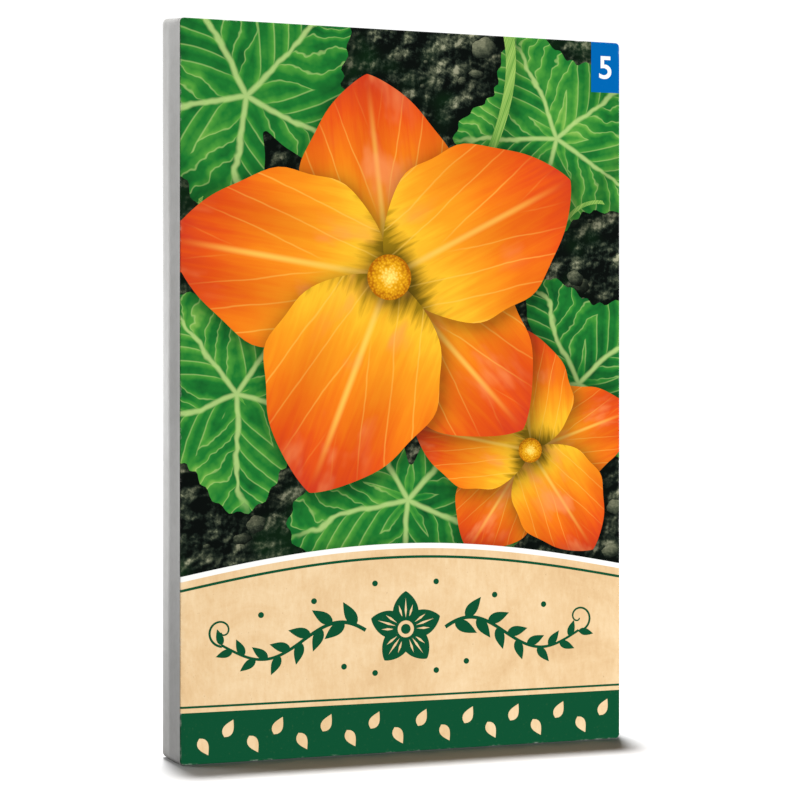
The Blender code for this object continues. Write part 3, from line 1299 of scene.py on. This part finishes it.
def insideGrid(border):
    xs, zs = zip(*border)
    step = sheet["gridStep"]
    points = []
    row = 0
    z = min(zs) + step
    while z < max(zs) - step * 0.6:
        x = min(xs) + step * (1.0 if row % 2 else 0.5)
        while x < max(xs) - step * 0.4:
            points.append((x, z))
            x += step
        z += step * math.sqrt(0.75)
        row += 1
    return points


def outlineArea(outline):
    following = outline[1:] + outline[:1]
    return sum(x0 * z1 - x1 * z0 for (x0, z0), (x1, z1) in zip(outline, following)) / 2


def shortEdged(outline):
    # long straight edges get points between their ends, so that they follow the relief
    points = []
    for start, end in zip(outline, outline[1:] + outline[:1]):
        steps = max(1, math.ceil(math.dist(start, end) / (2 * sheet["gridStep"])))
        points += [tuple(a + (b - a) * i / steps for a, b in zip(start, end)) for i in range(steps)]
    return points


def partition(border, motifs):
    # triangles of the panel, each with the number of the topmost motif over it, or -1
    points, faces, owners = [], [], []

    def addFace(outline, owner):
        if outlineArea(outline) < 0:
            outline = outline[::-1]
        if owner >= 0:
            outline = shortEdged(outline)
        start = len(points)
        points.extend(outline)
        faces.append(list(range(start, start + len(outline))))
        owners.append(owner)

    addFace(border, -1)
    for number, one in enumerate(motifs):
        for outline in one["faces"]:
            addFace(outline, number)
    points.extend(insideGrid(border))
    vectors = [Vector(point) for point in points]
    verts, _, triangles, _, _, inside = geometry.delaunay_2d_cdt(vectors, [], faces, 0, 1e-4)
    kept, tops = [], []
    for triangle, covering in zip(triangles, inside):
        if 0 in covering:
            kept.append(triangle)
            tops.append(max(owners[face] for face in covering))
    used = sorted({i for triangle in kept for i in triangle})
    renumber = {old: new for new, old in enumerate(used)}
    return (
        np.array([verts[i] for i in used]),
        [tuple(renumber[i] for i in triangle) for triangle in kept],
        tops,
    )


def borderLoop(triangles):
    # the vertices round a panel, in order
    count = {}
    for a, b, c in triangles:
        for start, end in ((a, b), (b, c), (c, a)):
            key = (min(start, end), max(start, end))
            count[key] = None if key in count else (start, end)
    onward = {pair[0]: pair[1] for pair in count.values() if pair}
    first = next(iter(onward))
    loop = [first]
    while onward[loop[-1]] != first:
        loop.append(onward[loop[-1]])
    return loop


def distanceToOutline(spots, outline):
    # distance from each spot to a closed outline, 0 inside it
    starts = np.array(outline)
    ends = np.roll(starts, -1, axis=0)
    best = np.full(len(spots), np.inf)
    within = np.zeros(len(spots), bool)
    for (x0, z0), (x1, z1) in zip(starts, ends):
        dx, dz = x1 - x0, z1 - z0
        run = ((spots[:, 0] - x0) * dx + (spots[:, 1] - z0) * dz) / max(dx * dx + dz * dz, 1e-12)
        run = np.clip(run, 0, 1)
        gap = np.hypot(spots[:, 0] - x0 - run * dx, spots[:, 1] - z0 - run * dz)
        best = np.minimum(best, gap)
        if z0 != z1:
            crosses = (z0 > spots[:, 1]) != (z1 > spots[:, 1])
            reach = x0 + (spots[:, 1] - z0) * dx / (z1 - z0)
            within ^= crosses & (spots[:, 0] < reach)
    best[within] = 0
    return best


def cornerTones(spots, tops, motifs):
    # how deep in shade each corner lies, from the motifs above its own
    tones = np.zeros(len(spots))
    shifted = spots - np.array(sheet["shadeShift"])
    margin = 4 * sheet["shadeReach"]
    for number, one in enumerate(motifs):
        if not one["casts"]:
            continue
        outline = np.array(one["faces"][0])
        near = (
            (tops < number)
            & np.all(shifted > outline.min(0) - margin, axis=1)
            & np.all(shifted < outline.max(0) + margin, axis=1)
        )
        if not near.any():
            continue
        gap = distanceToOutline(shifted[near], one["faces"][0])
        shade = one["casts"] * np.exp(-((gap / sheet["shadeReach"]) ** 1.2))
        tones[near] = 1 - (1 - tones[near]) * (1 - shade * 0.8)
    return tones


def eased(share):
    share = max(0.0, min(1.0, share))
    return share * share * (3 - 2 * share)


def frontRelief(x, z):
    # the front panel swells a little where the seeds press on it
    height, middle, reach = relief["seedSwell"]
    fade = eased(min((frontHalf - abs(x)) / 14, z / 10, (frontTop - z) / 14))
    swell = height * math.exp(-(((z - middle) / reach) ** 2))
    drift = relief["frontWave"] * math.sin(x * 0.075 + 0.8) * math.sin(z * 0.048 + 0.4)
    return fade * (swell + drift)


def depthInside(x, z, edge):
    # how far a point lies inside a flap whose open edge path runs along its free sides
    best = math.inf
    for (x0, z0), (x1, z1) in zip(edge, edge[1:]):
        dx, dz = x1 - x0, z1 - z0
        run = max(0.0, min(1.0, ((x - x0) * dx + (z - z0) * dz) / (dx * dx + dz * dz)))
        gap = math.hypot(x - x0 - run * dx, z - z0 - run * dz)
        if gap < abs(best):
            best = math.copysign(gap, dx * (z - z0) - dz * (x - x0))
    return best


def backRelief(x, z):
    # the seam's extra layer, the two flaps over it and the lift of their free edges
    start, end = backPrint["seam"]
    cut = backPrint["cut"]
    lift = backPrint["seamLayer"] * eased((x - start) / relief["seamSlope"])
    lift *= max(0.0, min(1.0, (end - x) / cut))
    lift *= eased((z - 1.6) / 2) * eased((sheetTop - 1.6 - z) / 2)
    depth = depthInside(x, z, flapEdges["topFlap" if z > sheetTop / 2 else "footFlap"])
    if depth > 0:
        height, reach = relief["freeLift"]
        free = height * math.exp(-((depth / reach) ** 2)) * (0.5 + 0.5 * math.sin(0.13 * x + 0.9))
        lift = lift * 0.4 + (backPrint["flapLayer"] + free) * min(1.0, depth / cut)
    lift *= eased((z - 0.7) / 1.6) * eased((sheetTop - 0.7 - z) / 1.6)
    fade = eased(min((sheetHalf - abs(x)) / 8, z / 10, (sheetTop - z) / 10))
    drift = relief["backWave"] * math.sin(x * 0.06 + 1.9) * math.sin(z * 0.055 + 0.7)
    return lift + fade * drift


def motifPlace(one, x, z):
    # a panel point in the motif's own coordinates, 1 at its tip and its side
    cos, sin = math.cos(one["turn"]), math.sin(one["turn"])
    dx, dz = x - one["origin"][0], z - one["origin"][1]
    return (dx * cos + dz * sin) / one["size"][0], (dz * cos - dx * sin) / one["size"][1]


def borderTops(triangles, tops, loop):
    # the motif that reaches each edge of the panel's border
    owner = {}
    for (a, b, c), top in zip(triangles, tops):
        owner.update({(a, b): top, (b, c): top, (c, a): top})
    return [owner[(start, end)] for start, end in zip(loop, loop[1:] + loop[:1])]


def foldDrift(number, rings, x, z):
    # creased paper is never quite straight, and wanders most midway between the folds
    share = (number - sheet["foldSteps"]) / (rings - 2 * sheet["foldSteps"] - 1)
    weight = math.sin(math.pi * min(1.0, max(0.0, share)))
    if abs(x) > frontHalf - 1:
        return 0.05 * weight * math.sin(z * 0.13 + 1.0), 0.22 * weight * math.sin(z * 0.047 + 0.6)
    return 0.0, 0.18 * weight * math.sin(x * 0.07 + 2.0)


class Skin:
    # the envelope's mesh as it grows, with the print data of each face
    def __init__(self, names):
        self.names = names
        self.points, self.faces, self.slots = [], [], []
        self.picks, self.places, self.tones = [], [], []

    def add(self, face, one, places, tones):
        self.faces.append(face)
        self.slots.append(self.names.index(one["ink"]))
        self.picks.append(one["pick"])
        self.places += places
        self.tones += tones

    def addPlain(self, faces, ink):
        for face in faces:
            self.add(face, motif(ink, []), [(0.0, 0.0)] * len(face), [0.0] * len(face))

    def addPanel(self, spots, numbers, triangles, tops, motifs, ground):
        # a printed panel, whose spots have the given numbers among the points
        corners = np.array([spots[i] for triangle in triangles for i in triangle])
        tones = cornerTones(corners, np.repeat(np.array(tops), 3), motifs).reshape(-1, 3)
        for triangle, top, shades in zip(triangles, tops, tones):
            one = motifs[top] if top >= 0 else ground
            places = [motifPlace(one, *spots[i]) for i in triangle]
            self.add(tuple(numbers[i] for i in triangle), one, places, list(shades))


def sinkFaces(points, quads, depth):
    # a shallow pit in place of the given faces: its walls and its floor
    lowered = {}
    for quad in quads:
        for i in quad:
            if i not in lowered:
                lowered[i] = len(points)
                x, y, z = points[i]
                points.append((x, y, z - depth))
    sides = {}
    for quad in quads:
        for start, end in zip(quad, quad[1:] + quad[:1]):
            key = frozenset((start, end))
            sides[key] = None if key in sides else (start, end)
    walls = [(a, b, lowered[b], lowered[a]) for a, b in (pair for pair in sides.values() if pair)]
    return walls + [tuple(lowered[i] for i in quad) for quad in quads]


def addFront(skin, border, motifs, ground):
    # returns the points round the panel and the motif that reaches each edge between them
    spots, triangles, tops = partition(border, motifs)
    print("front panel:", len(triangles), "triangles")
    skin.points += [(x, frontY - frontRelief(x, z), z) for x, z in spots]
    skin.addPanel(spots, range(len(spots)), triangles, tops, motifs, ground)
    loop = borderLoop(triangles)
    edges = borderTops(triangles, tops, loop)
    return loop, [motifs[top] if top >= 0 else ground for top in edges]


def addSides(skin, rings, loop, edgeMotifs):
    # the folds and sides follow the front panel's own border points round to the back
    points = skin.points
    shares = [ringShare(rings[0], points[i][0], points[i][2]) for i in loop]
    slitRing = len(rings) - 1 - len(quarterFold())
    slitStart, slitEnd = sheet["slitReach"]
    topSection = 4
    slits = {-1: [], 1: []}
    previous = loop
    for number, ring in enumerate(rings[1:], 1):
        current = list(range(len(points), len(points) + len(loop)))
        for section, share in shares:
            x, z = ringPoint(ring, section, share)
            driftX, driftY = foldDrift(number, len(rings), x, z)
            points.append((x + driftX, ring[4] + driftY, z))
        for i, one in enumerate(edgeMotifs):
            j = (i + 1) % len(loop)
            face = (previous[i], current[i], current[j], previous[j])
            x = (points[current[i]][0] + points[current[j]][0]) / 2
            inSlit = number == slitRing and shares[i][0] == topSection
            if number < sheet["foldSteps"]:
                # the print runs on over the front fold, to the worn edge
                places = [motifPlace(one, points[k][0], points[k][2]) for k in face]
                skin.add(face, one, places, [0.0] * 4)
            elif inSlit and slitStart < abs(x) < slitEnd:
                slits[math.copysign(1, x)].append(face)
            else:
                skin.addPlain([face], "paper")
        previous = current
    for quads in slits.values():
        # the pits' walls and floors are coloured with painted shade
        skin.addPlain(sinkFaces(points, quads, sheet["slitDepth"]), "gap")
    return previous


def addBack(skin, loop, motifs):
    # in the back panel's own directions: x runs the other way
    points = skin.points
    border = [(-points[i][0], points[i][2]) for i in reversed(loop)]
    spots, triangles, tops = partition(border, motifs)
    print("back panel:", len(triangles), "triangles")
    known = {}
    for i in loop:
        gaps = np.hypot(spots[:, 0] + points[i][0], spots[:, 1] - points[i][2])
        known[int(gaps.argmin())] = i
    numbers = []
    for i, (x, z) in enumerate(spots):
        numbers.append(known.get(i, len(points)))
        if i not in known:
            points.append((-x, backY + backRelief(x, z), z))
    skin.addPanel(spots, numbers, triangles, tops, motifs, motif("paper", []))


def makeEnvelope(inks):
    skin = Skin(list(inks))
    rings = sheetRings()
    loop, edgeMotifs = addFront(skin, borderPoints(rings[0]), frontMotifs(inks), motif("ground", []))
    addBack(skin, addSides(skin, rings, loop, edgeMotifs), backMotifs(inks))
    mesh = bpy.data.meshes.new("envelopePaper")
    points = [tuple(value * millimetre for value in point) for point in skin.points]
    mesh.from_pydata(points, [], skin.faces)
    for material in inks.values():
        mesh.materials.append(material)
    mesh.polygons.foreach_set("material_index", skin.slots)
    places = np.array(skin.places, np.float32).ravel()
    mesh.uv_layers.new(name="motif").data.foreach_set("uv", places)
    for name, domain, values in (("tone", "CORNER", skin.tones), ("pick", "FACE", skin.picks)):
        layer = mesh.attributes.new(name, "FLOAT", domain).data
        layer.foreach_set("value", np.array(values, np.float32))
    mesh.update()
    mesh.shade_smooth()
    mesh.set_sharp_from_angle(angle=math.radians(sheet["smoothAngle"]))
    return addPiece("envelopePaper", mesh, ["envelope"])


def addPiece(name, mesh, nodes):
    piece = addObject(name, mesh)
    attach(piece, "root")
    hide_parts(*nodes)
    return piece


inks = makeInks()
envelope = makeEnvelope(inks)
print("envelope made")

# The loose seeds inside

seeds = {
    "size": (18.0, 10.5, 3.2),  # length, width and thickness
    "point": 0.55,  # how sharply a seed narrows to its tip
    "inLayer": 4,
    "pitch": 21.2,
    "shift": 3.4,
    "tilt": math.radians(17),
    "clearance": 0.3,
    "paper": 0.4,
    "steps": 44,
    "middle": 0.94,
    # shares of the outline and of the thickness, from the middle of a face to its rim
    "profile": [
        (0.2, 0.97),
        (0.42, 1.0),
        (0.62, 0.95),
        (0.76, 0.78),
        (0.84, 0.58),
        (0.88, 0.56),
        (0.93, 0.64),
        (0.975, 0.58),
        (1.0, 0.3),
    ],
}


def seedCoat():
    finish = Finish("seedCoat")
    where = finish.place()
    rim = finish.attribute("rim")
    cloud = finish.noise(where, 420.0, 5.0, 0.65)
    fibre = finish.noise(finish.scaled(where, 0.35, 1.0, 1.0), 2600.0, 4.0, 0.7)
    light = cloud * 0.6 + fibre * 0.4
    color = finish.ramp(light, (0.30, 214, 184, 136), (0.5, 232, 208, 164), (0.72, 244, 228, 192))
    groove = rim.rise(0.74, 0.86) * rim.rise(0.93, 0.87)
    color = finish.mix(color, tint(176, 136, 84), groove * 0.7)
    color = finish.mix(color, tint(226, 196, 140), rim.rise(0.90, 0.97) * 0.6)
    finish.set("Normal", finish.bump(light, 0.5, 0.00008))
    finish.set("Base Color", color)
    finish.set("Roughness", 0.48 + (cloud - 0.5) * 0.2)
    finish.set("Specular IOR Level", 0.35)
    return finish.material


def seedPattern():
    # one seed, its tip towards x: rings from one face over the rim to the other
    length, width, thickness = (value * millimetre for value in seeds["size"])
    steps = seeds["steps"]
    middle = thickness / 2 * seeds["middle"]
    rings = [(scale, -height) for scale, height in seeds["profile"]]
    rings += [(scale, height) for scale, height in reversed(seeds["profile"])]
    points = [(0.0, 0.0, -middle)]
    rims = [0.0]
    for scale, height in rings:
        for i in range(steps):
            angle = 2 * math.pi * i / steps
            x = scale * length / 2 * math.cos(angle)
            across = math.sin(angle) * abs(math.sin(angle / 2)) ** seeds["point"]
            points.append((x, scale * width / 2 * across, height * thickness / 2))
            rims.append(scale)
    points.append((0.0, 0.0, middle))
    rims.append(0.0)
    faces = []
    for i in range(steps):
        j = (i + 1) % steps
        faces.append((0, 1 + j, 1 + i))
        for ring in range(len(rings) - 1):
            near, far = 1 + ring * steps, 1 + (ring + 1) * steps
            faces.append((near + i, near + j, far + j, far + i))
        far = 1 + (len(rings) - 1) * steps
        faces.append((far + i, far + j, len(points) - 1))
    mesh = bpy.data.meshes.new("seedPattern")
    mesh.from_pydata(points, [], faces)
    mesh.attributes.new("rim", "FLOAT", "POINT").data.foreach_set("value", rims)
    mesh.shade_smooth()
    return addObject("seedPattern", mesh)


def seedSpots():
    # where each seed stands on edge, and how it leans
    spots, turns = [], []
    length, width, thickness = seeds["size"]
    clearance, inLayer = seeds["clearance"], seeds["inLayer"]
    for layer, side in enumerate((-1, 1)):
        for index in range(inLayer):
            tilt = seeds["tilt"] * math.sin(2.4 * index + 1.7 * layer + 0.6)
            rise = math.hypot(length / 2 * math.sin(tilt), width / 2 * math.cos(tilt))
            x = seeds["pitch"] * (index - (inLayer - 1) / 2) + seeds["shift"] * side
            y = (frontY + backY) / 2 + (thickness / 2 + clearance) * side
            spots.append((x, y, seeds["paper"] + clearance + rise))
            turns.append((math.pi / 2, tilt + (math.pi if (index + layer) % 2 else 0.0), 0.0))
    return spots, turns


def makeSeeds():
    spots, turns = seedSpots()
    mesh = bpy.data.meshes.new("seedSpots")
    mesh.from_pydata([tuple(value * millimetre for value in spot) for spot in spots], [], [])
    turnValues = mesh.attributes.new("turn", "FLOAT_VECTOR", "POINT").data
    turnValues.foreach_set("vector", np.array(turns).ravel())
    holder = addObject("seedSpots", mesh)
    pattern = seedPattern()
    growth = Growth("seedRow")
    patternInput = growth.input("Seed", "Object", pattern)
    coatInput = growth.input("Seed coat", "Material", seedCoat())
    size = growth.input("Size", "Float", 1.0)
    settings = {"data_type": "FLOAT_VECTOR"}
    turn = growth.node("GeometryNodeInputNamedAttribute", settings, {0: "turn"})
    turn = growth.node("FunctionNodeEulerToRotation", None, {0: turn})
    placed = growth.scatter(growth.source(), patternInput, turn, size, coatInput)
    seedMesh = growth.run(holder, pattern, placed)
    seedMesh.name = "looseSeeds"
    nodes = ["seed_" + str(number + 1) for number in range(len(spots))]
    return addPiece("looseSeeds", seedMesh, nodes)


looseSeeds = makeSeeds()
print("seeds made")
